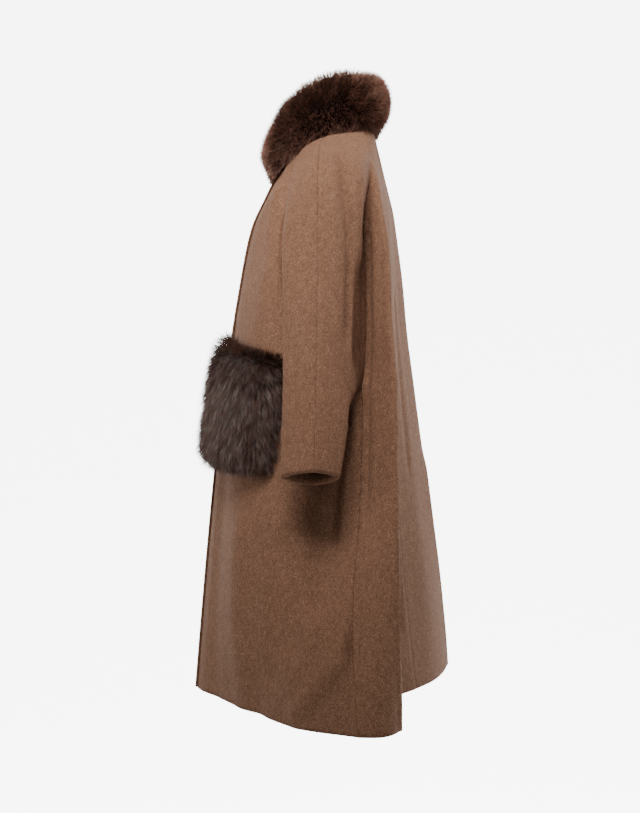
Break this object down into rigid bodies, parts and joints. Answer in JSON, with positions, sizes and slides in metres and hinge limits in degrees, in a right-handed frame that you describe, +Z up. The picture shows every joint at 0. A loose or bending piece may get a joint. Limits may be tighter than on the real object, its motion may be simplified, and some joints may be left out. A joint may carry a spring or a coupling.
{
  "type": "swing coat with fur collar and fur patch pockets",
  "caption": "Filled-out A-line wool swing coat with raglan sleeves, open cuffs and hem, a fur stand collar and fur patch pockets on the fronts.",
  "frame": {"origin": "between the wearer's shoulders, level with the side of the neck, where the wearer holds the coat up", "axes": "+Z up, the coat faces -Y, +X is the wearer's left"},
  "size_m": [0.8041, 0.4234, 1.0657],
  "materials": {
    "wool": "napped double-faced wool, matt",
    "fur": "long dark brown fur, satin"
  },
  "bodies": {
    "root": {"front_left": "wool", "front_right": "wool", "back_left": "wool", "back_right": "wool", "sleeve_front_left": "wool", "sleeve_back_left": "wool", "sleeve_front_right": "wool", "sleeve_back_right": "wool", "collar": "fur", "pocket_left": "fur", "pocket_right": "fur"}
  },
  "joints": []
}
